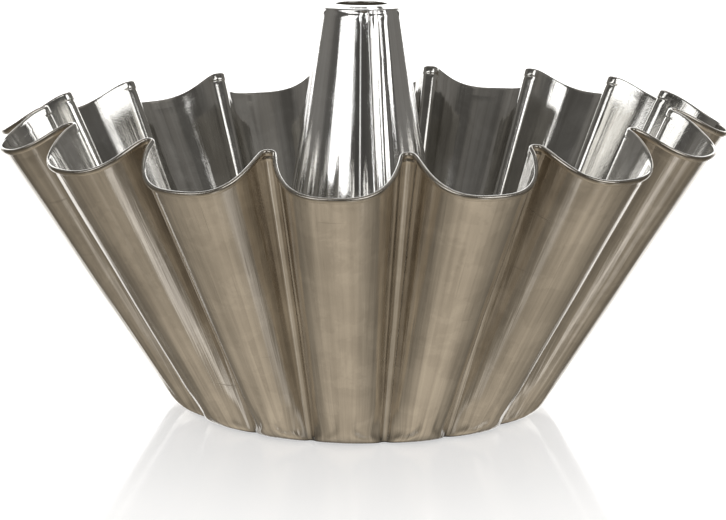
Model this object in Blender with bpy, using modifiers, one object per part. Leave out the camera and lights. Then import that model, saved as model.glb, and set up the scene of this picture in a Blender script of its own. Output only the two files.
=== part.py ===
"""A fluted ring-cake tin: a drawn tinplate shell whose rim is rolled around a wire, and a tall
rolled cone with a grooved lock seam for its centre tube. Metres, +Z up, front towards -Y. The
origin is on the tin's axis, at the plane it stands on."""

import math

import bpy
import numpy as np

MM = 0.001

# Driving dimensions, in millimetres
FLUTES = 16
FIRST_RIDGE_TURN = 7.9  # degrees from the front to the nearest ridge, seen from above
SHEET = 0.4
GAP = 0.3  # clearance that keeps neighbouring pieces apart

# Rim section: wide round lobes that meet in narrow folds, and the folds' tips stand higher
RIM_LOBE_RADIUS = 125.0
RIM_RIDGE_RADIUS = 106.3
RIM_FOLD_RADIUS = 2.6
RIM_LOBE_HEIGHT = 94.6
RIM_RIDGE_HEIGHT = 104.4
RIM_RISE_POWER = 1.3

# Base section: where the walls would reach the floor if the heel were sharp
BASE_LOBE_RADIUS = 64.8
BASE_RIDGE_RADIUS = 60.2
BASE_FOLD_RADIUS = 1.4
HEEL_AT_LOBE = 10.0  # length of the rounded heel's tangents
HEEL_AT_RIDGE = 2.0

# Floor: a flat ring to stand on, then a step up to the hole for the tube
STAND_RING_RADIUS = 46.0
FLOOR_STEP_RADIUS = 41.0
FLOOR_STEP = 4.0

# Rolled rim
WIRE_RADIUS = 0.4
ROLL_RADIUS = WIRE_RADIUS + GAP
ROLL_ANGLE = 300.0

# Centre tube
TUBE_TOP_HEIGHT = 138.9
TUBE_TOP_RADIUS = 13.2
TUBE_TAPER = 0.1515  # growth of the radius per millimetre downwards
TUBE_HOLE_RADIUS = 9.0
LIP_RISE = 1.0  # the turned-in lip climbs this much from its outer corner to the hole
LIP_ROUND = 0.6
FOOT_BEAD = 0.8
FOOT_FLANGE = 3.5
SEAM_TURN = 16.5  # degrees from the front
SEAM_WIDTH = 3.1
SEAM_PROUD = 0.8

# Mesh steps
LOBE_STEPS = 8
FOLD_STEPS = 4
WALL_STEPS = 2
HEEL_STEPS = 3
ROLL_STEPS = 5
TUBE_STEPS = 48


def clear_scene():
    for obj in list(bpy.data.objects):
        bpy.data.objects.remove(obj, do_unlink=True)


def new_collection(name, helpers=False):
    collection = bpy.data.collections.new(name)
    bpy.context.scene.collection.children.link(collection)
    collection.hide_render = helpers
    return collection


def material(name, color, roughness, metallic):
    made = bpy.data.materials.new(name)
    made.use_nodes = True
    shader = made.node_tree.nodes["Principled BSDF"]
    shader.inputs["Base Color"].default_value = (*color, 1.0)
    shader.inputs["Roughness"].default_value = roughness
    shader.inputs["Metallic"].default_value = metallic
    return made


def tube_radius(height):
    """Outer radius of the cone at a height."""
    return TUBE_TOP_RADIUS + (TUBE_TOP_HEIGHT - height) * TUBE_TAPER


def unit(vectors):
    return vectors / np.linalg.norm(vectors, axis=1, keepdims=True)


# The fluted section


def lobe_arc(lobe_radius, ridge_radius, fold_radius):
    """Radius, centre distance and half angle of a lobe's arc, so that it runs smoothly into the
    arc of the fold at the ridge. Both are seen along the flute's own middle line."""
    half_pitch = math.pi / FLUTES
    fold_distance = ridge_radius + fold_radius
    along = fold_distance * math.cos(half_pitch)
    squares = lobe_radius**2 + fold_distance**2 - 2 * lobe_radius * along - fold_radius**2
    radius = squares / (2 * (lobe_radius - along + fold_radius))
    distance = lobe_radius - radius
    across = fold_distance * math.sin(half_pitch)
    return radius, distance, math.atan2(across, along - distance)


def flute(lobe_radius, ridge_radius, fold_radius):
    """One flute in plan, from one end of its lobe's arc to just before the next flute's: rows of
    (along the flute's middle line, across it), and each point's share of the way to the ridge."""
    radius, distance, reach = lobe_arc(lobe_radius, ridge_radius, fold_radius)
    half_pitch = math.pi / FLUTES
    fold_distance = ridge_radius + fold_radius
    fold_reach = reach - half_pitch  # from the shared tangent to the ridge's tip
    length = radius * reach + fold_radius * fold_reach
    points = []
    shares = []
    for step in range(LOBE_STEPS + 1):
        angle = reach * (2 * step / LOBE_STEPS - 1)
        points.append((distance + radius * math.cos(angle), radius * math.sin(angle)))
        shares.append(radius * abs(angle) / length)
    for step in range(1, FOLD_STEPS):
        off_tip = fold_reach * (1 - 2 * step / FOLD_STEPS)
        angle = math.pi + half_pitch + off_tip
        points.append(
            (
                fold_distance * math.cos(half_pitch) + fold_radius * math.cos(angle),
                fold_distance * math.sin(half_pitch) + fold_radius * math.sin(angle),
            )
        )
        shares.append(1 - fold_radius * abs(off_tip) / length)
    return np.array(points), np.array(shares)


def fluted_ring(lobe_radius, ridge_radius, fold_radius):
    """The whole section in plan, and each point's share of the way from lobe to ridge."""
    points, shares = flute(lobe_radius, ridge_radius, fold_radius)
    rings = []
    for number in range(FLUTES):
        # The middle of a flute is half a pitch past a ridge; -Y is the front
        turn = math.radians(FIRST_RIDGE_TURN - 90) + (number + 0.5) * 2 * math.pi / FLUTES
        across = np.array([-math.sin(turn), math.cos(turn)])
        middle = np.array([math.cos(turn), math.sin(turn)])
        rings.append(points[:, :1] * middle + points[:, 1:] * across)
    return np.concatenate(rings), np.tile(shares, FLUTES)


def rise(shares):
    """0 at a lobe's middle, 1 at a ridge's tip, level at both."""
    return (1 - np.cos(math.pi * shares**RIM_RISE_POWER)) / 2


def ring_at(plan, heights):
    return np.column_stack([plan, np.broadcast_to(heights, len(plan))])


def rim_line():
    roll_width = 2 * ROLL_RADIUS + SHEET
    wall_radius = RIM_LOBE_RADIUS - roll_width
    plan, shares = fluted_ring(wall_radius, RIM_RIDGE_RADIUS, RIM_FOLD_RADIUS)
    heights = RIM_LOBE_HEIGHT + (RIM_RIDGE_HEIGHT - RIM_LOBE_HEIGHT) * rise(shares)
    return ring_at(plan, heights)


def sharp_base():
    plan, shares = fluted_ring(BASE_LOBE_RADIUS, BASE_RIDGE_RADIUS, BASE_FOLD_RADIUS)
    return ring_at(plan, 0.0), shares


def roll_frame():
    """At each point of the rim line: the way out of the sheet, and the way up in the sheet,
    square to the rim."""
    rim = rim_line()
    up = unit(rim - sharp_base()[0])
    along = unit(np.roll(rim, -1, axis=0) - np.roll(rim, 1, axis=0))
    outward = unit(np.cross(along, up))
    return outward, unit(np.cross(outward, along))


def roll_ring(angle):
    """The rolled rim's inner face, an angle round the wire from where the wall meets it."""
    outward, up = roll_frame()
    turn = math.radians(angle)
    return rim_line() + ROLL_RADIUS * (outward * (1 - math.cos(turn)) + up * math.sin(turn))


def shell_rings():
    """The shell's outer face as rings of matching points, from the tube's hole to the rim."""
    base, shares = sharp_base()
    rim = rim_line()
    plan = unit(base[:, :2])
    rings = []
    hole = tube_radius(FLOOR_STEP) + GAP
    for radius, height in (
        (hole, FLOOR_STEP),
        (FLOOR_STEP_RADIUS, FLOOR_STEP),
        (STAND_RING_RADIUS, 0.0),
    ):
        rings.append(ring_at(plan * radius, height))
    tangent = (HEEL_AT_LOBE + (HEEL_AT_RIDGE - HEEL_AT_LOBE) * rise(shares))[:, None]
    on_floor = base - ring_at(plan, 0.0) * tangent
    on_wall = base + unit(rim - base) * tangent
    for step in range(HEEL_STEPS + 1):
        part = step / HEEL_STEPS
        rings.append((1 - part) ** 2 * on_floor + 2 * part * (1 - part) * base + part**2 * on_wall)
    for step in range(1, WALL_STEPS + 1):
        rings.append(on_wall + (rim - on_wall) * (step / WALL_STEPS))
    for step in range(1, ROLL_STEPS + 1):
        rings.append(roll_ring(ROLL_ANGLE * step / ROLL_STEPS))
    return rings


def loft(name, rings, collection):
    """An open surface through closed rings that have the same number of points."""
    count = len(rings[0])
    faces = []
    for lower in range(len(rings) - 1):
        for point in range(count):
            beside = (point + 1) % count
            faces.append(
                (
                    lower * count + point,
                    lower * count + beside,
                    (lower + 1) * count + beside,
                    (lower + 1) * count + point,
                )
            )
    mesh = bpy.data.meshes.new(name)
    mesh.from_pydata((np.concatenate(rings) * MM).tolist(), [], faces)
    mesh.shade_smooth()
    obj = bpy.data.objects.new(name, mesh)
    collection.objects.link(obj)
    return obj


def add_thickness(obj):
    solidify = obj.modifiers.new("Sheet thickness", "SOLIDIFY")
    solidify.thickness = SHEET * MM
    solidify.offset = -1.0


# The sub-parts


def make_shell(collection):
    shell = loft("fluted_shell", shell_rings(), collection)
    add_thickness(shell)
    shell.data.materials.append(material("Satin tinplate", (0.42, 0.38, 0.33), 0.32, 1.0))


def make_rim_wire(collection):
    outward, _ = roll_frame()
    centre = rim_line() + ROLL_RADIUS * outward
    curve = bpy.data.curves.new("rim_wire", "CURVE")
    curve.dimensions = "3D"
    curve.bevel_depth = WIRE_RADIUS * MM
    curve.bevel_resolution = 0
    spline = curve.splines.new("POLY")
    spline.points.add(len(centre) - 1)
    for point, place in zip(spline.points, centre * MM):
        point.co = (*place, 1.0)
    spline.use_cyclic_u = True
    wire = bpy.data.objects.new("rim_wire", curve)
    collection.objects.link(wire)
    wire.data.materials.append(material("Steel wire", (0.35, 0.34, 0.33), 0.4, 1.0))


def tube_profile():
    """The tube's outer face, top to bottom: turned-in lip, cone, locating bead, foot flange."""
    points = [(TUBE_HOLE_RADIUS, TUBE_TOP_HEIGHT)]
    corner = TUBE_TOP_HEIGHT - LIP_RISE
    for step in range(4):
        angle = math.radians(90 - 90 * step / 3)
        points.append(
            (
                TUBE_TOP_RADIUS - LIP_ROUND * (1 - math.cos(angle)),
                corner - LIP_ROUND * (1 - math.sin(angle)),
            )
        )
    middle = (TUBE_TOP_HEIGHT + FLOOR_STEP) / 2
    points.append((tube_radius(middle), middle))
    bead = FLOOR_STEP + SHEET + GAP
    for height, proud in ((3.0, 0.0), (1.6, FOOT_BEAD), (0.8, FOOT_BEAD), (0.0, 0.0)):
        points.append((tube_radius(bead + height) + proud, bead + height))
    flange = FLOOR_STEP - GAP
    points.append((tube_radius(flange), flange))
    points.append((tube_radius(flange) + FOOT_FLANGE, flange - 0.4))
    return points


def make_tube(collection, helpers):
    points = tube_profile()
    mesh = bpy.data.meshes.new("centre_tube")
    edges = [(step, step + 1) for step in range(len(points) - 1)]
    mesh.from_pydata([(radius * MM, 0.0, height * MM) for radius, height in points], edges, [])
    tube = bpy.data.objects.new("centre_tube", mesh)
    collection.objects.link(tube)
    screw = tube.modifiers.new("Turn", "SCREW")
    screw.steps = TUBE_STEPS
    screw.render_steps = TUBE_STEPS
    screw.use_merge_vertices = True
    screw.merge_threshold = 0.0001
    screw.use_smooth_shade = True
    add_thickness(tube)
    join = tube.modifiers.new("Lock seam", "BOOLEAN")
    join.operation = "UNION"
    join.object = make_seam(helpers)
    tube.data.materials.append(material("Bright tinplate", (0.75, 0.75, 0.74), 0.14, 1.0))


def make_seam(helpers):
    """The flat folded seam that closes the cone, as a bar lying along the cone's front."""
    low = FLOOR_STEP + SHEET + GAP + 3.0
    high = TUBE_TOP_HEIGHT - LIP_RISE - LIP_ROUND
    depth = SEAM_PROUD + SHEET
    middle = (low + high) / 2
    slope = math.atan(TUBE_TAPER)
    bpy.ops.mesh.primitive_cube_add(size=1)
    seam = bpy.context.object
    seam.name = "lock_seam"
    seam.scale = (SEAM_WIDTH * MM, depth * MM, (high - low) / math.cos(slope) * MM)
    turn = math.radians(SEAM_TURN)
    distance = tube_radius(middle) + SEAM_PROUD - depth / 2
    seam.location = (
        distance * math.sin(turn) * MM,
        -distance * math.cos(turn) * MM,
        middle * MM,
    )
    seam.rotation_euler = (-slope, 0.0, turn)
    for owner in list(seam.users_collection):
        owner.objects.unlink(seam)
    helpers.objects.link(seam)
    seam.hide_render = True
    seam.display_type = "WIRE"
    return seam


def build():
    clear_scene()
    tin = new_collection("Fluted ring-cake tin")
    helpers = new_collection("Helpers", helpers=True)
    make_shell(tin)
    make_rim_wire(tin)
    make_tube(tin, helpers)


build()
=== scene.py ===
"""The looks of a fluted ring-cake tin in tinplate: the drawn shell with its rolled edge, the wire
inside that edge, and the cone-shaped centre tube with its lock seam. Lengths are in millimetres
until a mesh is made."""

import math

import bpy
import numpy as np
from mathutils import Matrix, Vector, noise


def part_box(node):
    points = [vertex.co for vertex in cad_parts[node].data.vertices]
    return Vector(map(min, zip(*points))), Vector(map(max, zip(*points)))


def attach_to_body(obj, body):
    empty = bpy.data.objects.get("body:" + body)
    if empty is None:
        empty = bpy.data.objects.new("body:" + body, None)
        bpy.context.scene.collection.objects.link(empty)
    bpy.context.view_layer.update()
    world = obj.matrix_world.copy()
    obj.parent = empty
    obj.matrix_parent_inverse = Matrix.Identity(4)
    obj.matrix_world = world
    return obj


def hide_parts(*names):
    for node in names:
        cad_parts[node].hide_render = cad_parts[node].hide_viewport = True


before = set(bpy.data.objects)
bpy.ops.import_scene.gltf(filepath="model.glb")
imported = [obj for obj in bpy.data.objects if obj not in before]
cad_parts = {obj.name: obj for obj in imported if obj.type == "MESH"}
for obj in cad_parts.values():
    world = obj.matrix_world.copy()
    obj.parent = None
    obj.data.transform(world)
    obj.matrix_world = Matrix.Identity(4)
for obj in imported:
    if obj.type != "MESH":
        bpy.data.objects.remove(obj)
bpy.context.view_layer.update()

MM = 0.001
TUBE_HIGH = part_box("centre_tube")[1]


def node_points(name):
    """A CAD node's vertices, in millimetres."""
    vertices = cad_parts[name].data.vertices
    flat = np.empty(len(vertices) * 3)
    vertices.foreach_get("co", flat)
    return flat.reshape(-1, 3) / MM


SHELL_POINTS = node_points("fluted_shell")
SHELL_REACH = np.hypot(SHELL_POINTS[:, 0], SHELL_POINTS[:, 1])

# The fluted section, as designed
FLUTES = 16
FIRST_RIDGE_TURN = 7.9
SHEET = 0.36
RIM_LOBE_RADIUS = SHELL_REACH.max() + 0.3
RIM_RIDGE_RADIUS = 106.3
RIM_FOLD_RADIUS = 2.6
RIM_RISE = 10.3
RIM_RISE_POWER = 1.54
RIM_RIDGE_HEIGHT = 104.5
BASE_LOBE_RADIUS = 64.5
BASE_RIDGE_RADIUS = 58.6
BASE_FOLD_RADIUS = 1.3
LOBE_FULLNESS = 0.03
FOLD_SHARE = 0.915
HEEL_AT_LOBE = 8.0
HEEL_AT_RIDGE = 2.0
STAND_RING_RADIUS = 46.0
FLOOR_STEP_RADIUS = 41.0
FLOOR_STEP = 4.0

# The hem at the rim: the sheet goes up, over a small wire and down again, and its edge turns in
HEM_INNER_RADIUS = 0.28
HEM_RISE = 0.3
HEM_DROP = 0.55
HEM_HOOK = 0.2
HEM_TOP_STEPS = 8
# How many steps over the hem's top keep the bright inner tinplate; the rest of the hem gets painted
# shade
HEM_BRIGHT_STEPS = 5
WIRE_RADIUS = 0.22

# At the top of each ridge the sheet swells a little towards the axis
HEM_CAP = 0.35
HEM_CAP_HEIGHT = 2.2

# The press never set the ridges quite evenly: how far their circle lies to the right, in
# millimetres, and how far single ridges stray, in degrees, at the rim and at the base
RIM_RIDGE_DRIFT = -1.0
BASE_RIDGE_DRIFT = -0.6
RIM_RIDGE_STRAY = {1: -0.4, 2: 0.6, 13: 0.5}
BASE_RIDGE_STRAY = {0: 0.5, 1: -1.0, 2: -0.4, 14: 1.6, 15: -0.8, 6: 1.2, 9: -1.0}

# How much lower than the others the rim dips at single lobes, in millimetres
LOW_LOBES = {14: 1.0, 4: 0.4, 9: 0.5}

# A rim that was never quite true: one side a little higher, and a slight saddle
RIM_LEAN = (math.tan(math.radians(0.87)), math.tan(math.radians(0.49)))
RIM_SADDLE = 1.5
RIM_SADDLE_TURN = math.radians(110.4)
SADDLE_RADIUS = 115.0

# The centre tube
TUBE_TOP_HEIGHT = TUBE_HIGH.z / MM
TUBE_TOP_RADIUS = 13.3
TUBE_TAPER = 0.170
TUBE_LEAN = -0.6
TUBE_HOLE_RADIUS = 9.0
LIP_RISE = 1.0
LIP_ROUND = 0.6
FOOT_GAP = 0.3
FOOT_FLANGE = 1.2
FOOT_BEAD = 0.8
FOOT_BEAD_LENGTH = 3.2
FOOT_BEAD_BOTTOM = FLOOR_STEP + SHEET + FOOT_GAP
CONE_BOTTOM = FOOT_BEAD_BOTTOM + 4.0
SEAM_TURN = 16.5
SEAM_WIDTH = 3.1
SEAM_PROUD = 0.75
TUBE_FACET_DEPTH = 0.04

# Dents and a bulge under the lip beside the seam: how deep, at what turn and how wide, in degrees,
# how far below the lip and how long, in millimetres
TUBE_TOP_DENTS = (
    (0.75, 3.5, 4.0, 2.6, 1.5),
    (0.5, 28.0, 6.5, 2.4, 1.3),
    (-0.2, 12.5, 3.0, 3.0, 2.5),
)

# The light table, as the metal mirrors it: a tinted glow that grows with how steeply a ray comes
# down, white glares, each with an azimuth and a spread, in degrees, and a power, and the tin's
# own shadow, with the radii in metres between which it ends
FLOOR_RADIANCE = 0.62
FLOOR_TINT = (1.13, 1.0, 0.81)
FLOOR_STEEPNESS = 3.0
FLOOR_SPILL = 0.15
FLOOR_GLARES = ((28.0, 8.5, 1.05), (-37.0, 6.0, 0.5), (70.0, 10.0, 0.5))
FLOOR_BACK_GLARE = 1.9
FLOOR_SHADOW = 0.16
FLOOR_SHADOW_EDGE = (0.0565, 0.0635)

# The room and its lit panels, as the metal mirrors them: radiances
ROOM_TINT = (1.04, 1.0, 0.94)
ROOM = 0.10
ROOM_ABOVE = 0.05
ROOM_ABOVE_RIGHT = 0.08
ROOM_AHEAD = 0.04
ROOM_SIDES = 0.09
ROOM_ZENITH = 0.6
LEFT_SOFTBOX = 1.9
RIGHT_SOFTBOX = 2.0
BACK_PANEL = 1.9

# Unevenness of the sheet itself
FACETS_PER_FLUTE = 9
FACET_DEPTH = 0.2
WAVE_DEPTH = 0.22
WAVE_LENGTH = 34.0
HEEL_DENT = 1.0

LOBE_STEPS = 40
FOLD_STEPS = 14
HEEL_STEPS = 10
SEED = 11


# Shapes


def unit(vectors):
    return vectors / np.linalg.norm(vectors, axis=-1, keepdims=True)


def smooth(value):
    value = np.clip(value, 0.0, 1.0)
    return value * value * (3 - 2 * value)


def tube_radius(height):
    return TUBE_TOP_RADIUS + (TUBE_TOP_HEIGHT - height) * TUBE_TAPER


def lobe_arc(lobe_radius, ridge_radius, fold_radius):
    """The arc of a lobe that runs tangent into the folds beside it: its radius, its centre's
    distance from the axis, and how far it reaches each way, in radians."""
    half_pitch = math.pi / FLUTES
    fold_distance = ridge_radius + fold_radius
    along = fold_distance * math.cos(half_pitch)
    squares = lobe_radius**2 + fold_distance**2 - 2 * lobe_radius * along - fold_radius**2
    radius = squares / (2 * (lobe_radius - along + fold_radius))
    distance = lobe_radius - radius
    across = fold_distance * math.sin(half_pitch)
    return radius, distance, math.atan2(across, along - distance)


def flute(lobe_radius, ridge_radius, fold_radius):
    """One lobe about the X axis and the fold after it, as points and shares. A share is the way
    along the section from the lobe's middle, at 0, to the tip of the ridge on either side, at 1
    and -1."""
    radius, distance, reach = lobe_arc(lobe_radius, ridge_radius, fold_radius)
    half_pitch = math.pi / FLUTES
    fold_distance = ridge_radius + fold_radius
    fold_reach = reach - half_pitch
    length = radius * reach + fold_radius * fold_reach
    points = []
    shares = []
    for step in range(LOBE_STEPS + 1):
        angle = reach * (2 * step / LOBE_STEPS - 1)
        fuller = radius * (1 + LOBE_FULLNESS * math.sin(math.pi * angle / reach) ** 2)
        points.append((distance + fuller * math.cos(angle), fuller * math.sin(angle)))
        shares.append(radius * angle / length)
    for step in range(1, FOLD_STEPS):
        off_tip = fold_reach * (1 - 2 * step / FOLD_STEPS)
        angle = math.pi + half_pitch + off_tip
        points.append(
            (
                fold_distance * math.cos(half_pitch) + fold_radius * math.cos(angle),
                fold_distance * math.sin(half_pitch) + fold_radius * math.sin(angle),
            )
        )
        before_tip = 1 - fold_radius * abs(off_tip) / length
        shares.append(before_tip if off_tip >= 0 else -before_tip)
    return np.array(points), np.array(shares)


def off_pitch(plan, shares, drift, stray):
    """Moves the ridges of an evenly fluted ring to where they really came out."""
    azimuth = np.arctan2(plan[:, 0], -plan[:, 1])
    reach = np.hypot(plan[:, 0], plan[:, 1])
    ridges = [FIRST_RIDGE_TURN + number * 360 / FLUTES for number in range(FLUTES)]
    strays = [stray.get(number, 0.0) for number in range(FLUTES)]
    turned = np.radians(np.interp(np.degrees(azimuth), ridges, strays, period=360))
    turned += drift * np.cos(azimuth) / reach
    reach = reach + drift * np.sin(azimuth) * shares**2
    return np.column_stack(
        [reach * np.sin(azimuth + turned), -reach * np.cos(azimuth + turned)]
    )


def fluted_ring(lobe_radius, ridge_radius, fold_radius, drift, stray):
    """The whole fluted outline in plan, and each point's share."""
    points, shares = flute(lobe_radius, ridge_radius, fold_radius)
    rings = []
    for number in range(FLUTES):
        turn = math.radians(FIRST_RIDGE_TURN - 90) + (number + 0.5) * 2 * math.pi / FLUTES
        across = np.array([-math.sin(turn), math.cos(turn)])
        middle = np.array([math.cos(turn), math.sin(turn)])
        rings.append(points[:, :1] * middle + points[:, 1:] * across)
    shares = np.tile(shares, FLUTES)
    return off_pitch(np.concatenate(rings), shares, drift, stray), shares


def rise(shares):
    """0 at a lobe's middle, 1 at a ridge's tip."""
    return (1 - np.cos(math.pi * np.abs(shares) ** RIM_RISE_POWER)) / 2


def ring_at(plan, heights):
    """Plan points set at a height, or each at its own."""
    return np.column_stack([plan, np.broadcast_to(heights, len(plan))])


def rim_line():
    """The sheet's outer face where the hem begins, before the tin's own unevenness."""
    hem_width = 2 * HEM_INNER_RADIUS + SHEET
    plan, shares = fluted_ring(
        RIM_LOBE_RADIUS - hem_width,
        RIM_RIDGE_RADIUS,
        RIM_FOLD_RADIUS,
        RIM_RIDGE_DRIFT,
        RIM_RIDGE_STRAY,
    )
    low = [LOW_LOBES.get(number, 0.0) for number in range(FLUTES)]
    drop = RIM_RISE + np.repeat(low, len(shares) // FLUTES)
    return ring_at(plan, RIM_RIDGE_HEIGHT - drop * (1 - rise(shares)))


def hem_section():
    """How far outward and upward of the rim line the sheet's outer face runs, over the top of the
    hem and down to its turned-in edge."""
    points = []
    for step in range(HEM_TOP_STEPS + 1):
        turn = math.pi * step / HEM_TOP_STEPS
        points.append(
            (
                HEM_INNER_RADIUS * (1 - math.cos(turn)),
                HEM_RISE + HEM_INNER_RADIUS * math.sin(turn),
            )
        )
    width = 2 * HEM_INNER_RADIUS
    for step in range(1, 5):
        down = step / 4
        bulge = 0.07 * math.sin(math.pi * down)
        points.append((width + bulge, HEM_RISE - (HEM_RISE + HEM_DROP) * down))
    for step in range(1, 5):
        turn = math.radians(110 * step / 4)
        points.append(
            (
                width - HEM_HOOK * (1 - math.cos(turn)),
                -HEM_DROP - HEM_HOOK * math.sin(turn),
            )
        )
    return points


def sharp_base():
    """Where the wall would meet the table without a heel, and each point's share."""
    plan, shares = fluted_ring(
        BASE_LOBE_RADIUS, BASE_RIDGE_RADIUS, BASE_FOLD_RADIUS, BASE_RIDGE_DRIFT, BASE_RIDGE_STRAY
    )
    return ring_at(plan, 0.0), shares


def wall_frame():
    """At each point of the rim: away from the sheet's outer face, and up along the sheet."""
    rim = rim_line()
    up = unit(rim - sharp_base()[0])
    along = unit(np.roll(rim, -1, axis=0) - np.roll(rim, 1, axis=0))
    outward = unit(np.cross(along, up))
    return outward, unit(np.cross(outward, along))


def settled(ring):
    """Directions from the axis to a ring's points, moved so that they never turn back."""
    turns = np.unwrap(np.arctan2(ring[:, 1], ring[:, 0]))
    twice = np.concatenate([turns, turns + 2 * math.pi])
    ahead = np.maximum.accumulate(twice)[len(ring) :] - 2 * math.pi
    evenly = ahead[0] + 2 * math.pi * np.arange(len(ring)) / len(ring)
    turns = 0.8 * ahead + 0.2 * evenly
    return np.column_stack([np.cos(turns), np.sin(turns)])


def facet_line(shares, chance):
    """Shallow flats between creases that run up the wall, different on each flute."""
    relief = []
    per_flute = len(shares) // FLUTES
    for number in range(FLUTES):
        own = shares[number * per_flute : (number + 1) * per_flute]
        knots = np.linspace(-0.86, 0.86, FACETS_PER_FLUTE)
        knots[1:-1] += chance.uniform(-0.08, 0.08, FACETS_PER_FLUTE - 2)
        depths = chance.uniform(-1.0, 1.0, FACETS_PER_FLUTE)
        depths[0] = depths[-1] = 0.0
        relief.append(FACET_DEPTH * np.interp(own, knots, depths))
    return np.concatenate(relief)


def waves(points, length, seed):
    """Smooth noise between -1 and 1, with swells about as long as the length."""
    return np.array(
        [noise.noise(Vector(point) / length + Vector((seed, 0, 0))) for point in points.tolist()]
    )


def heel_dents(shares, heights, sizes):
    """Flat three-cornered dents where each lobe meets the heel, either side of its middle."""
    size = np.repeat(sizes, len(shares) // FLUTES, axis=0)
    size = np.where(shares > 0, size[:, 0], size[:, 1])
    spread = 0.10 + 0.42 * (1 - smooth(heights / 7))
    inside = smooth((np.abs(shares) - spread) / 0.14) * smooth((0.86 - np.abs(shares)) / 0.18)
    return -HEEL_DENT * size * inside * smooth((17 - heights) / 13) * smooth((heights - 1) / 4)


def out_of_true(points):
    """The tin's own unevenness, which grows from nothing at the floor."""
    x, y, z = points.T
    turn = np.arctan2(x, -y)
    reach = (np.hypot(x, y) / SADDLE_RADIUS) ** 2
    saddle = RIM_SADDLE * np.cos(2 * (turn - RIM_SADDLE_TURN)) * reach
    lift = (saddle + x * RIM_LEAN[0] + y * RIM_LEAN[1]) * smooth(z / RIM_RIDGE_HEIGHT)
    return points + np.column_stack([0 * x, 0 * x, lift])


def shell_rings():
    """The outer face of the shell: rings from the floor's hole up to the hem's turned-in edge."""
    base, shares = sharp_base()
    rim = rim_line()
    plan = unit(base[:, :2])
    even = settled(base)
    outward, up = wall_frame()
    chance = np.random.default_rng(SEED)
    facets = facet_line(shares, chance)
    dents_seed = int(chance.integers(1000))
    dent_sizes = np.random.default_rng(dents_seed).uniform(0.5, 1.2, (FLUTES, 2))
    tangent = (HEEL_AT_LOBE + (HEEL_AT_RIDGE - HEEL_AT_LOBE) * rise(shares))[:, None]
    on_floor = base - ring_at(plan, 0.0) * tangent
    on_wall = base + unit(rim - base) * tangent
    rings = []
    hole = tube_radius(FLOOR_STEP) + FOOT_GAP
    for radius in np.linspace(hole, STAND_RING_RADIUS, 9):
        down = smooth((radius - FLOOR_STEP_RADIUS + 1.5) / (STAND_RING_RADIUS - FLOOR_STEP_RADIUS))
        rings.append(ring_at(even * radius, FLOOR_STEP * (1 - down)))
    inner_floor = rings[-1]
    for step in (1, 2):
        rings.append(inner_floor + (on_floor - inner_floor) * step / 3)
    for step in range(HEEL_STEPS + 1):
        part = step / HEEL_STEPS
        rings.append((1 - part) ** 2 * on_floor + 2 * part * (1 - part) * base + part**2 * on_wall)
    heel_rings = len(rings) - HEEL_STEPS - 1
    # Rings up the wall, closer together at the heel and again at the top
    wall_parts = np.concatenate([np.linspace(0, 0.16, 13)[1:], np.linspace(0.16, 0.965, 34)[1:]])
    for part in wall_parts:
        rings.append(on_wall + (rim - on_wall) * part)
    wall_ends = len(rings)
    for below in (3.2, 2.8, 2.5, 2.2, 1.9, 1.6, 1.2, 0.8, 0.4):
        rings.append(rim - up * below)
    for number in range(heel_rings, wall_ends):
        ring = rings[number]
        height = ring[:, 2]
        part = np.clip(height / rim[:, 2], 0, 1)
        window = np.sin(math.pi * part**0.7) ** 0.7
        relief = facets * window
        relief += WAVE_DEPTH * waves(ring, WAVE_LENGTH, 3.7) * window * smooth(height / 8)
        relief += heel_dents(shares, height, dent_sizes)
        rings[number] = ring + outward * relief[:, None]
    in_fold = smooth((np.abs(shares) - FOLD_SHARE) / 0.05)
    for number in range(wall_ends, len(rings)):
        below = np.linalg.norm(rim - rings[number], axis=1)
        cap = smooth((HEM_CAP_HEIGHT - below) / 0.7) - 0.3 * smooth((3.0 - below) / 0.5)
        rings[number] = rings[number] - outward * (HEM_CAP * in_fold * cap)[:, None]
    cap_shift = outward * (0.7 * HEM_CAP * in_fold)[:, None]
    for across, rising in hem_section():
        rings.append(rim + outward * across + up * rising - cap_shift)
    return [out_of_true(ring) for ring in rings]


def loft(name, rings, closed=False):
    """A surface through rings of matching points; closed joins the last ring to the first."""
    count = len(rings[0])
    faces = []
    for lower in range(len(rings) - (not closed)):
        upper = (lower + 1) % len(rings)
        for point in range(count):
            beside = (point + 1) % count
            faces.append(
                (
                    lower * count + point,
                    lower * count + beside,
                    upper * count + beside,
                    upper * count + point,
                )
            )
    mesh = bpy.data.meshes.new(name)
    mesh.from_pydata((np.concatenate(rings) * MM).tolist(), [], faces)
    mesh.shade_smooth()
    obj = bpy.data.objects.new(name, mesh)
    bpy.context.scene.collection.objects.link(obj)
    return obj


# Materials


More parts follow.
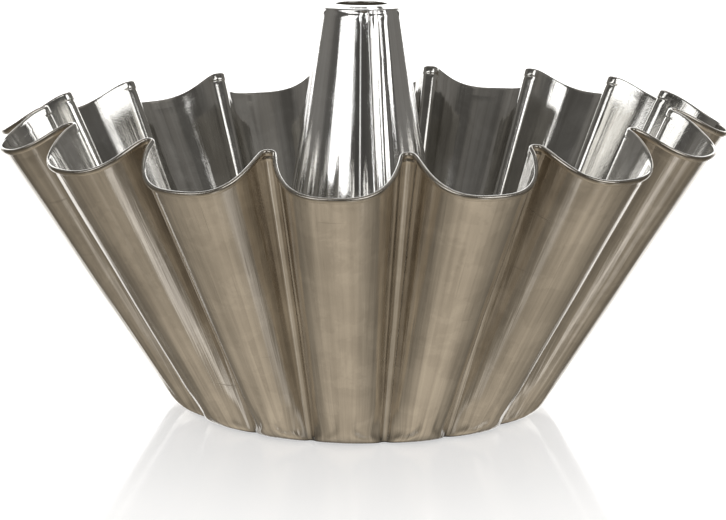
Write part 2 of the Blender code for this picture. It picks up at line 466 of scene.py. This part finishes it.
class Nodes:
    """Short names for building a node tree."""

    def __init__(self, tree):
        self.tree = tree

    def feed(self, socket, value):
        if isinstance(value, bpy.types.NodeSocket):
            self.tree.links.new(value, socket)
        else:
            socket.default_value = value

    def maths(self, operation, first, second=0.0):
        node = self.tree.nodes.new("ShaderNodeMath")
        node.operation = operation
        self.feed(node.inputs[0], first)
        self.feed(node.inputs[1], second)
        return node.outputs["Value"]

    def add(self, total, share, power=1.0):
        """The total and the share times the power."""
        return self.maths("ADD", total, self.maths("MULTIPLY", share, power))

    def axes(self, vector):
        node = self.tree.nodes.new("ShaderNodeSeparateXYZ")
        self.tree.links.new(vector, node.inputs["Vector"])
        return node.outputs["X"], node.outputs["Y"], node.outputs["Z"]

    def angles(self, right, away, up):
        """A direction's azimuth and elevation, in degrees."""
        azimuth = self.maths("DEGREES", self.maths("ARCTAN2", right, away))
        return azimuth, self.maths("DEGREES", self.maths("ARCSINE", up))

    def ramp(self, value, low, high, to_low=0.0, to_high=1.0):
        node = self.tree.nodes.new("ShaderNodeMapRange")
        node.interpolation_type = "SMOOTHSTEP"
        self.tree.links.new(value, node.inputs["Value"])
        for name, number in (
            ("From Min", low),
            ("From Max", high),
            ("To Min", to_low),
            ("To Max", to_high),
        ):
            node.inputs[name].default_value = number
        return node.outputs["Result"]

    def edge(self, value, at, soft):
        """0 below an edge and 1 above it."""
        return self.ramp(value, at - soft, at + soft)

    def band(self, value, low, high, soft):
        """1 between two edges and 0 outside them."""
        return self.maths("SUBTRACT", self.edge(value, low, soft), self.edge(value, high, soft))

    def hill(self, value, middle, spread):
        """1 at the middle, falling smoothly to 0 twice the spread away."""
        off = self.maths("ABSOLUTE", self.maths("SUBTRACT", value, middle))
        return self.ramp(off, 2 * spread, 0.0)

    def glow(self, kind, color, strength):
        """An Emission or a Background."""
        node = self.tree.nodes.new("ShaderNode" + kind)
        node.inputs["Color"].default_value = (*color, 1.0)
        self.feed(node.inputs["Strength"], strength)
        return node.outputs[kind]

    def both(self, first, second):
        node = self.tree.nodes.new("ShaderNodeAddShader")
        self.tree.links.new(first, node.inputs[0])
        self.tree.links.new(second, node.inputs[1])
        return node.outputs["Shader"]

    def show(self, seen, mirrored, surface):
        """What the camera sees directly, and what the metal mirrors."""
        path = self.tree.nodes.new("ShaderNodeLightPath")
        mix = self.tree.nodes.new("ShaderNodeMixShader")
        self.tree.links.new(path.outputs["Is Camera Ray"], mix.inputs["Fac"])
        self.tree.links.new(mirrored, mix.inputs[1])
        self.tree.links.new(seen, mix.inputs[2])
        self.tree.links.new(mix.outputs["Shader"], surface)


class Graph(Nodes):
    """A material's nodes."""

    def __init__(self, name):
        self.material = bpy.data.materials.new(name)
        self.material.use_nodes = True
        super().__init__(self.material.node_tree)
        self.shader = self.tree.nodes["Principled BSDF"]

    def place(self, stretch=(1.0, 1.0, 1.0), turn=(0.0, 0.0, 0.0), attribute=None):
        if attribute:
            source = self.tree.nodes.new("ShaderNodeAttribute")
            source.attribute_name = attribute
            vector = source.outputs["Vector"]
        else:
            vector = self.tree.nodes.new("ShaderNodeTexCoord").outputs["Object"]
        mapping = self.tree.nodes.new("ShaderNodeMapping")
        mapping.inputs["Rotation"].default_value = turn
        mapping.inputs["Scale"].default_value = stretch
        self.tree.links.new(vector, mapping.inputs["Vector"])
        return mapping.outputs["Vector"]

    def noise(self, vector, scale, detail=3.0, roughness=0.5, distortion=0.0):
        node = self.tree.nodes.new("ShaderNodeTexNoise")
        self.tree.links.new(vector, node.inputs["Vector"])
        node.inputs["Scale"].default_value = scale
        node.inputs["Detail"].default_value = detail
        node.inputs["Roughness"].default_value = roughness
        node.inputs["Distortion"].default_value = distortion
        return node.outputs["Fac"]

    def blend(self, share, first, second):
        node = self.tree.nodes.new("ShaderNodeMix")
        node.data_type = "RGBA"
        self.feed(node.inputs["Factor"], share)
        for socket, value in ((node.inputs["A"], first), (node.inputs["B"], second)):
            if isinstance(value, tuple):
                value = (*value, 1.0)
            self.feed(socket, value)
        return node.outputs["Result"]

    def bump(self, height, distance, strength=1.0, after=None):
        node = self.tree.nodes.new("ShaderNodeBump")
        node.inputs["Distance"].default_value = distance
        node.inputs["Strength"].default_value = strength
        self.tree.links.new(height, node.inputs["Height"])
        if after is not None:
            self.tree.links.new(after, node.inputs["Normal"])
        return node.outputs["Normal"]

    def finish(self, color, roughness, metallic=1.0, normal=None):
        self.feed(self.shader.inputs["Base Color"], color)
        self.feed(self.shader.inputs["Roughness"], roughness)
        self.shader.inputs["Metallic"].default_value = metallic
        if normal is not None:
            self.feed(self.shader.inputs["Normal"], normal)
        return self.material


def tinplate(name, dark, light, shine, dull, grain, streaks, painted_foot_shade=0.0):
    """Tin-coated sheet: a cloudy tone, rubbed streaks along it, a speckled grain in patches, and
    fine scratches. Its roughness runs from shine to dull. grain and streaks are relief depths, and
    soiled is the height up to which the foot is darkened with a painted contact shadow, all in
    metres."""
    graph = Graph(name)
    clouds = graph.noise(graph.place(), 34.0, detail=4.0, roughness=0.6, distortion=0.6)
    along = graph.noise(graph.place((1.0, 0.05, 1.0), attribute="sheet"), 420.0, detail=4.0)
    bands = graph.noise(graph.place((1.0, 0.03, 1.0), attribute="sheet"), 170.0, detail=1.0)
    speckle = graph.noise(graph.place(), 2600.0, detail=2.0)
    scratch_a = graph.noise(
        graph.place((1.0, 0.03, 1.0), (0.0, 0.0, 0.5), attribute="sheet"), 900.0, detail=1.0
    )
    scratch_b = graph.noise(
        graph.place((0.04, 1.0, 1.0), (0.0, 0.0, 0.2), attribute="sheet"), 700.0, detail=1.0
    )
    worn = graph.maths(
        "MAXIMUM", graph.ramp(scratch_a, 0.70, 0.76), graph.ramp(scratch_b, 0.75, 0.80)
    )
    stains = graph.noise(graph.place(), 75.0, detail=5.0, roughness=0.6, distortion=0.3)
    tone = graph.maths(
        "ADD",
        graph.ramp(clouds, 0.3, 0.7, 0.0, 0.35),
        graph.ramp(along, 0.3, 0.7, 0.0, 0.25),
    )
    tone = graph.maths("ADD", tone, graph.ramp(bands, 0.46, 0.54, 0.0, 0.3))
    tone = graph.maths("ADD", tone, graph.ramp(stains, 0.48, 0.54, 0.0, 0.16))
    tone = graph.maths("SUBTRACT", tone, graph.maths("MULTIPLY", worn, 0.25))
    color = graph.blend(tone, dark, light)
    # Darkens the foot below the given height: a painted contact shadow where the tin meets the table
    if painted_foot_shade:
        foot = graph.ramp(graph.axes(graph.place())[2], painted_foot_shade, 0.3 * painted_foot_shade)
        color = graph.blend(foot, color, (0.10, 0.09, 0.08))
    roughness = graph.ramp(clouds, 0.35, 0.7, shine, dull)
    roughness = graph.add(roughness, worn, 0.12)
    waved = graph.bump(graph.add(along, bands, 1.6), streaks)
    patches = graph.ramp(clouds, 0.4, 0.6, 0.3, 1.0)
    grained = graph.maths("MULTIPLY", graph.maths("SUBTRACT", speckle, 0.5), patches)
    normal = graph.bump(grained, grain, after=waved)
    return graph.finish(color, roughness, normal=normal)


# The pieces


def attach(obj, node):
    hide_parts(node)
    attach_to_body(obj, "root")


def sheet_coordinates(obj, rings):
    """A vector on each point: the way round the sheet, and the way up it, both in metres."""
    stack = np.array(rings) * MM
    around = np.linalg.norm(np.roll(stack, -1, axis=1) - stack, axis=2).max(axis=0)
    up = np.linalg.norm(np.diff(stack, axis=0), axis=2).mean(axis=1)
    across = np.concatenate([[0.0], np.cumsum(around)[:-1]])
    height = np.concatenate([[0.0], np.cumsum(up)])
    grid = np.zeros((len(rings), len(rings[0]), 3), np.float32)
    grid[..., 0] = across[None, :]
    grid[..., 1] = height[:, None]
    attribute = obj.data.attributes.new("sheet", "FLOAT_VECTOR", "POINT")
    attribute.data.foreach_set("vector", grid.reshape(-1))


def make_shell():
    """The fluted shell: its outer face, thickened inwards, with a duller hem that carries painted
    shade below its top.
    """
    rings = shell_rings()
    shell = loft("shell_drawn", rings)
    sheet_coordinates(shell, rings)
    shell.data.materials.append(
        tinplate(
            "Satin tinplate outside",
            dark=(0.43, 0.40, 0.36),
            light=(0.70, 0.66, 0.60),
            shine=0.10,
            dull=0.18,
            grain=0.000012,
            streaks=0.00011,
            # The lowest millimetre of the outside is darkened: painted contact shadow
            painted_foot_shade=0.001,
        )
    )
    shell.data.materials.append(
        tinplate(
            "Bright tinplate inside",
            dark=(0.49, 0.475, 0.445),
            light=(0.76, 0.75, 0.72),
            shine=0.07,
            dull=0.14,
            grain=0.00003,
            streaks=0.0001,
        )
    )
    # The hem turns the sheet over, so what shows there is the wall's inner face; below the hem's
    # bright top it gets a rougher and darker copy of the inner tinplate, the darkening being painted
    # shade
    shell.data.materials.append(shell.data.materials[0])
    shell.data.materials.append(
        tinplate(
            "Satin tinplate hem, painted shade",
            dark=(0.42, 0.39, 0.345),
            light=(0.58, 0.545, 0.49),
            shine=0.15,
            dull=0.25,
            grain=0.00002,
            streaks=0.00004,
        )
    )
    # The hem's faces below its top take the darker hem tinplate: painted shade
    shaded_hem_faces = (len(hem_section()) - HEM_BRIGHT_STEPS) * len(rings[0])
    slots = np.zeros(len(shell.data.polygons), np.int32)
    slots[-shaded_hem_faces:] = 2
    shell.data.polygons.foreach_set("material_index", slots)
    thicken = shell.modifiers.new("Sheet thickness", "SOLIDIFY")
    thicken.thickness = SHEET * MM
    thicken.offset = -1.0
    thicken.material_offset = 1
    thicken.material_offset_rim = 1
    attach(shell, "fluted_shell")


def make_wire():
    """The wire that lies inside the hem, all the way round."""
    outward, up = wall_frame()
    centre = out_of_true(rim_line() + HEM_INNER_RADIUS * outward + 0.1 * up)
    along = unit(np.roll(centre, -1, axis=0) - np.roll(centre, 1, axis=0))
    side = unit(np.cross(along, up))
    top = np.cross(side, along)
    rings = []
    for step in range(8):
        turn = 2 * math.pi * step / 8
        rings.append(centre + WIRE_RADIUS * (math.cos(turn) * side + math.sin(turn) * top))
    wire = loft("rim_wire_round", rings, closed=True)
    sheet_coordinates(wire, rings)
    wire.data.materials.append(
        tinplate(
            "Steel wire",
            dark=(0.3, 0.29, 0.28),
            light=(0.42, 0.41, 0.4),
            shine=0.3,
            dull=0.4,
            grain=0.00001,
            streaks=0.00001,
        )
    )
    attach(wire, "rim_wire")


def tube_profile():
    """The tube's outer face, top to bottom."""
    points = [
        (TUBE_HOLE_RADIUS + outward, TUBE_TOP_HEIGHT - below)
        for outward, below in ((0, 0.5), (0.12, 0.15), (0.5, 0), (1.2, 0.08), (2.4, 0.35))
    ]
    corner = TUBE_TOP_HEIGHT - LIP_RISE
    for step in range(7):
        angle = math.radians(90 - 90 * step / 6)
        points.append(
            (
                TUBE_TOP_RADIUS + 0.1 - LIP_ROUND * (1 - math.cos(angle)),
                corner - LIP_ROUND * (1 - math.sin(angle)),
            )
        )
    points.append((TUBE_TOP_RADIUS + 0.08, corner - 1.2))
    points.append((tube_radius(corner - 1.9) - 0.12, corner - 1.7))
    below_lip = corner - 2.6
    points.append((tube_radius(below_lip), below_lip))
    for step in range(1, 15):
        height = below_lip - 0.45 * step
        points.append((tube_radius(height), height))
    last = points[-1][1]
    for step in range(1, 24):
        height = last + (CONE_BOTTOM - last) * step / 24
        points.append((tube_radius(height), height))
    for step in range(9):
        turn = math.pi * step / 8
        height = FOOT_BEAD_BOTTOM + FOOT_BEAD_LENGTH * (1 - step / 8)
        points.append((tube_radius(height) + FOOT_BEAD * math.sin(turn), height))
    flange = FLOOR_STEP - FOOT_GAP
    points.append((tube_radius(flange + 0.4), flange + 0.4))
    points.append((tube_radius(flange) + 0.3, flange))
    points.append((tube_radius(flange) + FOOT_FLANGE, flange - 0.4))
    return points


def offset_profile(points, distance):
    """The profile moved in from its outer face by the sheet's thickness."""
    line = np.array(points)
    ahead = np.gradient(line, axis=0)
    ahead /= np.linalg.norm(ahead, axis=1, keepdims=True)
    return line + distance * np.column_stack([ahead[:, 1], -ahead[:, 0]])


def hump(value, middle, spread):
    return np.exp(-(((value - middle) / spread) ** 2))


def tube_relief(turns, radius, height):
    """The lock seam, and the marks that bending and closing the tube left on it."""
    degrees = np.degrees((turns + math.pi) % (2 * math.pi) - math.pi)
    away = np.radians(degrees - SEAM_TURN) * radius
    half = SEAM_WIDTH / 2
    left = smooth((away + half + 0.35) / 0.7)
    right = smooth((half + 0.1 - away) / 0.2)
    hollow = 1 - 0.22 * hump(away, 0.35, 0.7)
    relief = SEAM_PROUD * left * right * hollow
    relief -= 0.25 * hump(away, half + 0.9, 0.8)
    chance = np.random.default_rng(SEED + 1)
    between = np.arange(-160, 171, 17) + chance.uniform(-5, 5, 20)
    knots = np.concatenate([[-180.0], between, [180.0]])
    depths = chance.uniform(-TUBE_FACET_DEPTH, TUBE_FACET_DEPTH, len(knots))
    depths[-1] = depths[0]
    relief += np.interp(degrees, knots, depths)
    top = TUBE_TOP_HEIGHT - LIP_RISE
    # A shallow valley right of the seam, deeper near the top
    relief -= (0.25 + 0.2 * smooth((height - 90) / 40)) * hump(degrees, 31.0, 5.0)
    for depth, turn, width, below, length in TUBE_TOP_DENTS:
        relief -= depth * hump(degrees, turn, width) * hump(height, top - below, length)
    return relief


def ring_round(radius, turns, height):
    """A ring about the axis; turns run from the front, towards +X."""
    return np.column_stack([radius * np.sin(turns), -radius * np.cos(turns), 0 * turns + height])


def make_tube():
    """The centre tube, with points close together at its seam."""
    outer = tube_profile()
    inner = offset_profile(outer, SHEET)
    plain = np.linspace(0, 2 * math.pi, 240, endpoint=False)
    seam = math.radians(SEAM_TURN)
    near_seam = seam + np.linspace(-0.24, 0.24, 161)
    far = np.abs((plain - seam + math.pi) % (2 * math.pi) - math.pi) > 0.245
    turns = np.sort(np.concatenate([plain[far], near_seam]))
    rings = []
    for radius, height in outer:
        fade = smooth((height - CONE_BOTTOM) / 2) * smooth((radius - TUBE_HOLE_RADIUS - 2.4) / 1.6)
        reach = radius + tube_relief(turns, radius, height) * fade
        rings.append(ring_round(reach, turns, height))
    for radius, height in inner[::-1]:
        rings.append(ring_round(radius, turns, height))
    for ring in rings:
        ring[:, 0] += TUBE_LEAN * smooth(ring[:, 2] / TUBE_TOP_HEIGHT)
    tube = loft("tube_seamed", rings[::-1], closed=True)
    sheet_coordinates(tube, rings[::-1])
    tube.data.materials.append(
        tinplate(
            "Bright tinplate tube",
            dark=(0.72, 0.71, 0.69),
            light=(0.86, 0.855, 0.84),
            shine=0.03,
            dull=0.06,
            grain=0.000025,
            streaks=0.00003,
        )
    )
    attach(tube, "centre_tube")


# The studio


def make_floor():
    """A white table, lit from below, that shines up steeply. It looks plain white to the camera, but
    the metal mirrors it bright where it looks straight down on it and dim where it looks across."""
    mesh = bpy.data.meshes.new("floor")
    half = 14.0
    corners = [(-half, -half, 0), (half, -half, 0), (half, half, 0), (-half, half, 0)]
    mesh.from_pydata(corners, [], [(0, 1, 2, 3)])
    floor = bpy.data.objects.new("floor", mesh)
    bpy.context.scene.collection.objects.link(floor)
    floor.location.z = -0.0002
    graph = Graph("Pale glossy floor")
    graph.shader.inputs["Specular IOR Level"].default_value = 0.22
    graph.shader.inputs["Emission Color"].default_value = (1.0, 1.0, 1.0, 1.0)
    graph.shader.inputs["Emission Strength"].default_value = 0.55
    mesh.materials.append(graph.finish((0.8, 0.8, 0.8, 1.0), 0.1, metallic=0.0))
    x, y, z = graph.axes(graph.tree.nodes.new("ShaderNodeNewGeometry").outputs["Incoming"])
    azimuth, steepness = graph.angles(graph.maths("MULTIPLY", x, -1.0), y, z)
    upward = graph.maths("POWER", z, FLOOR_STEEPNESS)
    shine = graph.add(FLOOR_SPILL, upward, 1.0 - FLOOR_SPILL)
    # A glare for rays that come down shallowly on their way to the back, and some for steeper ones
    behind = graph.ramp(graph.maths("ABSOLUTE", azimuth), 138.0, 146.0)
    shallow = graph.ramp(steepness, 34.0, 26.0)
    glare = graph.maths("MULTIPLY", graph.maths("MULTIPLY", behind, shallow), FLOOR_BACK_GLARE)
    slanting = graph.hill(steepness, 47.0, 9.0)
    for middle, spread, power in FLOOR_GLARES:
        spot = graph.maths("MULTIPLY", graph.hill(azimuth, middle, spread), slanting)
        glare = graph.add(glare, spot, power)
    from_axis = graph.tree.nodes.new("ShaderNodeVectorMath")
    from_axis.operation = "LENGTH"
    graph.tree.links.new(graph.place(), from_axis.inputs[0])
    lit = graph.ramp(from_axis.outputs["Value"], *FLOOR_SHADOW_EDGE, FLOOR_SHADOW, 1.0)
    lit = graph.maths("MULTIPLY", lit, FLOOR_RADIANCE)
    mirrored = graph.both(
        graph.glow("Emission", FLOOR_TINT, graph.maths("MULTIPLY", shine, lit)),
        graph.glow("Emission", (1.0, 1.0, 1.0), graph.maths("MULTIPLY", glare, lit)),
    )
    surface = graph.tree.nodes["Material Output"].inputs["Surface"]
    graph.show(graph.shader.outputs["BSDF"], mirrored, surface)


def make_top_light():
    """Brightens the floor only, so that the metal mirrors the room and not this light."""
    light = bpy.data.lights.new("top light", "AREA")
    light.shape = "RECTANGLE"
    light.size = 3.0
    light.size_y = 3.0
    light.energy = 22.0
    lamp = bpy.data.objects.new("top light", light)
    bpy.context.scene.collection.objects.link(lamp)
    lamp.location = (0.0, 0.0, 2.2)
    lamp.visible_glossy = False
    lamp.visible_camera = False


def make_world():
    """A studio as the metal mirrors it: bright soft panels to the left, right and back, and a dim
    room elsewhere. Azimuths run from the camera's side, positive to its right, in degrees."""
    world = bpy.data.worlds.new("Studio")
    bpy.context.scene.world = world
    world.use_nodes = True
    nodes = Nodes(world.node_tree)
    x, y, z = nodes.axes(nodes.tree.nodes.new("ShaderNodeTexCoord").outputs["Generated"])
    azimuth, elevation = nodes.angles(x, nodes.maths("MULTIPLY", y, -1.0), z)

    # The room is darker around the camera and lighter at both sides, high up and straight above
    low = nodes.maths("SUBTRACT", 1.0, nodes.edge(elevation, 16, 8))
    ahead = nodes.maths("MULTIPLY", nodes.band(azimuth, -14, 14, 5), low)
    room = nodes.maths("SUBTRACT", ROOM, nodes.maths("MULTIPLY", ahead, ROOM_AHEAD))
    high = nodes.maths("SUBTRACT", nodes.edge(elevation, 50, 4), nodes.edge(elevation, 66, 8))
    above = nodes.add(ROOM_ABOVE, nodes.edge(azimuth, 0, 12), ROOM_ABOVE_RIGHT)
    room = nodes.add(room, high, above)
    room = nodes.add(room, nodes.edge(elevation, 74, 6), ROOM_ZENITH)
    right_side = nodes.band(azimuth, 72, 130, 6)
    left_side = nodes.band(azimuth, -132, -80, 8)
    room = nodes.add(room, nodes.maths("ADD", right_side, left_side), ROOM_SIDES)

    # A slanting panel to the left
    slant = nodes.maths("SUBTRACT", azimuth, elevation)
    left = nodes.maths("MULTIPLY", nodes.band(slant, -68, -32, 2), nodes.band(elevation, -12, 30, 2))
    panels = nodes.maths("MULTIPLY", left, LEFT_SOFTBOX)

    # An oval one to the right, narrower below
    reach = nodes.add(17.0, nodes.edge(elevation, 17, 3), 12.0)
    across = nodes.maths("DIVIDE", nodes.maths("SUBTRACT", azimuth, 39.0), reach)
    upright = nodes.maths("DIVIDE", nodes.maths("SUBTRACT", elevation, 12.0), 20.0)
    squares = nodes.add(nodes.maths("POWER", across, 2.0), nodes.maths("POWER", upright, 2.0))
    right = nodes.maths("SUBTRACT", 1.0, nodes.edge(squares, 1.0, 0.12))
    panels = nodes.add(panels, right, RIGHT_SOFTBOX)

    # A wide one at the back, wider still near the horizon
    lifted = nodes.maths("MINIMUM", nodes.maths("MAXIMUM", elevation, 0.0), 8.0)
    turned = nodes.maths("ABSOLUTE", azimuth)
    turned = nodes.maths("SUBTRACT", turned, nodes.maths("MULTIPLY", lifted, 2.0))
    behind = nodes.edge(turned, 125, 2)
    back = nodes.maths("MULTIPLY", behind, nodes.band(elevation, -12, 38, 3))
    panels = nodes.add(panels, back, BACK_PANEL)

    mirrored = nodes.both(
        nodes.glow("Background", ROOM_TINT, room),
        nodes.glow("Background", (1.0, 1.0, 1.0), panels),
    )
    white = nodes.tree.nodes["Background"]
    white.inputs["Color"].default_value = (1.0, 1.0, 1.0, 1.0)
    white.inputs["Strength"].default_value = 1.05
    surface = nodes.tree.nodes["World Output"].inputs["Surface"]
    nodes.show(white.outputs["Background"], mirrored, surface)


def make_camera():
    """Looks slightly down at the tin from in front, through a long lens."""
    elevation = math.radians(11.25)
    distance = 0.793
    aim = Vector((0.0, 0.0, 0.0493))
    back = Vector((0.0, -math.cos(elevation), math.sin(elevation)))
    data = bpy.data.cameras.new("camera")
    data.sensor_width = 36.0
    data.lens = 112.9
    data.shift_x = 0.0023
    data.shift_y = 0.0014
    camera = bpy.data.objects.new("camera", data)
    bpy.context.scene.collection.objects.link(camera)
    turn = back.to_track_quat("Z", "Y").to_matrix().to_4x4()
    roll = Matrix.Rotation(math.radians(0.43), 4, "Z")
    camera.matrix_world = Matrix.Translation(aim + back * distance) @ turn @ roll
    bpy.context.scene.camera = camera


make_shell()
make_wire()
make_tube()
make_floor()
make_world()
make_top_light()
make_camera()
bpy.context.scene.view_settings.view_transform = "Standard"
